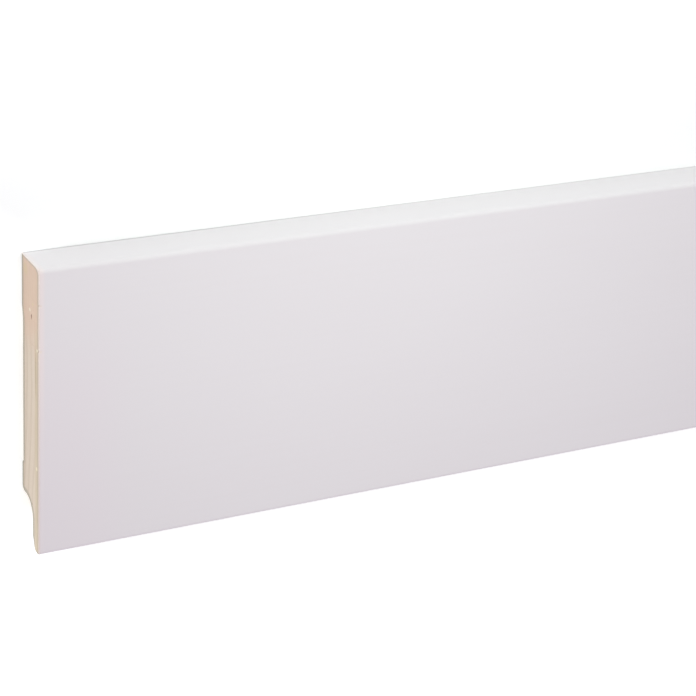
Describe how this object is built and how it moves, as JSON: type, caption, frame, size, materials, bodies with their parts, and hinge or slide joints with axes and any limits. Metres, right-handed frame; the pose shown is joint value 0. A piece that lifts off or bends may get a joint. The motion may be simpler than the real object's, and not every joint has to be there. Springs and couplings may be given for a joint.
{
  "type": "skirting board length",
  "caption": "Straight length of white painted pine skirting with an eased top edge, a relieved back and a cable rebate behind its thin foot.",
  "frame": {"origin": "middle of the back, on the plane of the two lands that touch the wall, with the board lying on them", "axes": "+X along the length, +Y towards the rounded top edge of the fitted board, +Z out of its front face"},
  "size_m": [2.4, 0.095, 0.015],
  "materials": {
    "white_paint": "factory-sprayed satin white paint over planed pine",
    "bare_pine": "unpainted pine, sawn across the grain at the ends and planed on the back"
  },
  "bodies": {
    "root": {"skirting_board": "white_paint"}
  },
  "joints": []
}
